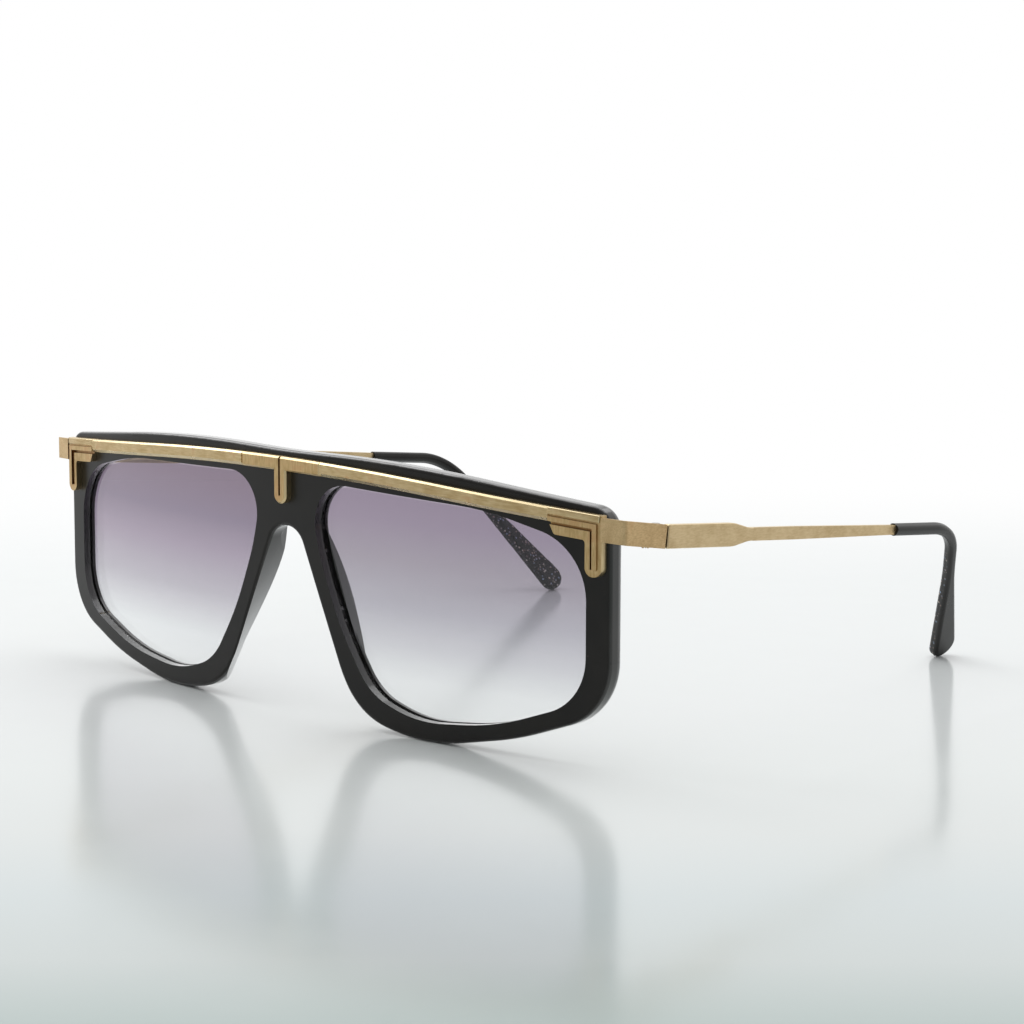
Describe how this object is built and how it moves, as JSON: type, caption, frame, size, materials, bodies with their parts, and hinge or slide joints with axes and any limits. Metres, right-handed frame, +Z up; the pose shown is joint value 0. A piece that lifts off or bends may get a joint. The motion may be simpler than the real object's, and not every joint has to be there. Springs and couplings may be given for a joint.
{
  "type": "flat top sunglasses",
  "caption": "Flat top sunglasses: dark moulded front under a straight metal brow with a centre prong and corner brackets, tinted lenses, folding metal temples with moulded ends.",
  "frame": {"origin": "middle of the footprint, on the table that the open glasses stand on", "axes": "+X to the right across the front as seen from in front, +Y back along the temples, +Z up"},
  "size_m": [0.1444, 0.1246, 0.0461],
  "materials": {
    "front": "satin black",
    "lens": "polished, tint fading downwards",
    "metal": "antiqued matte gold",
    "hinge": "satin",
    "screws": "turned",
    "tips": "polished black"
  },
  "bodies": {
    "front": {"front_frame": "front", "lens_right": "lens", "lens_left": "lens", "brow_tee": "metal", "brow_bar_right": "metal", "brow_bar_left": "metal", "corner_bracket_right": "metal", "corner_bracket_left": "metal", "endpiece_right": "metal", "endpiece_left": "metal", "brow_screw_center": "screws", "brow_screw_right": "screws", "brow_screw_left": "screws", "hinge_front_right": "hinge", "hinge_front_left": "hinge", "hinge_screw_right": "screws", "hinge_screw_left": "screws"},
    "temple_right": {"hinge_temple_right": "hinge", "temple_plate_right": "metal", "temple_strip_right": "metal", "temple_tip_right": "tips"},
    "temple_left": {"hinge_temple_left": "hinge", "temple_plate_left": "metal", "temple_strip_left": "metal", "temple_tip_left": "tips"}
  },
  "joints": [
    {"name": "right_hinge", "type": "hinge", "parent": "front", "child": "temple_right", "pos_m": [0.06955, -0.04469, 0.0373], "axis": [0, 0, 1], "range_deg": [0, 72]},
    {"name": "left_hinge", "type": "hinge", "parent": "front", "child": "temple_left", "pos_m": [-0.06955, -0.04469, 0.0373], "axis": [0, 0, -1], "range_deg": [0, 80]}
  ]
}
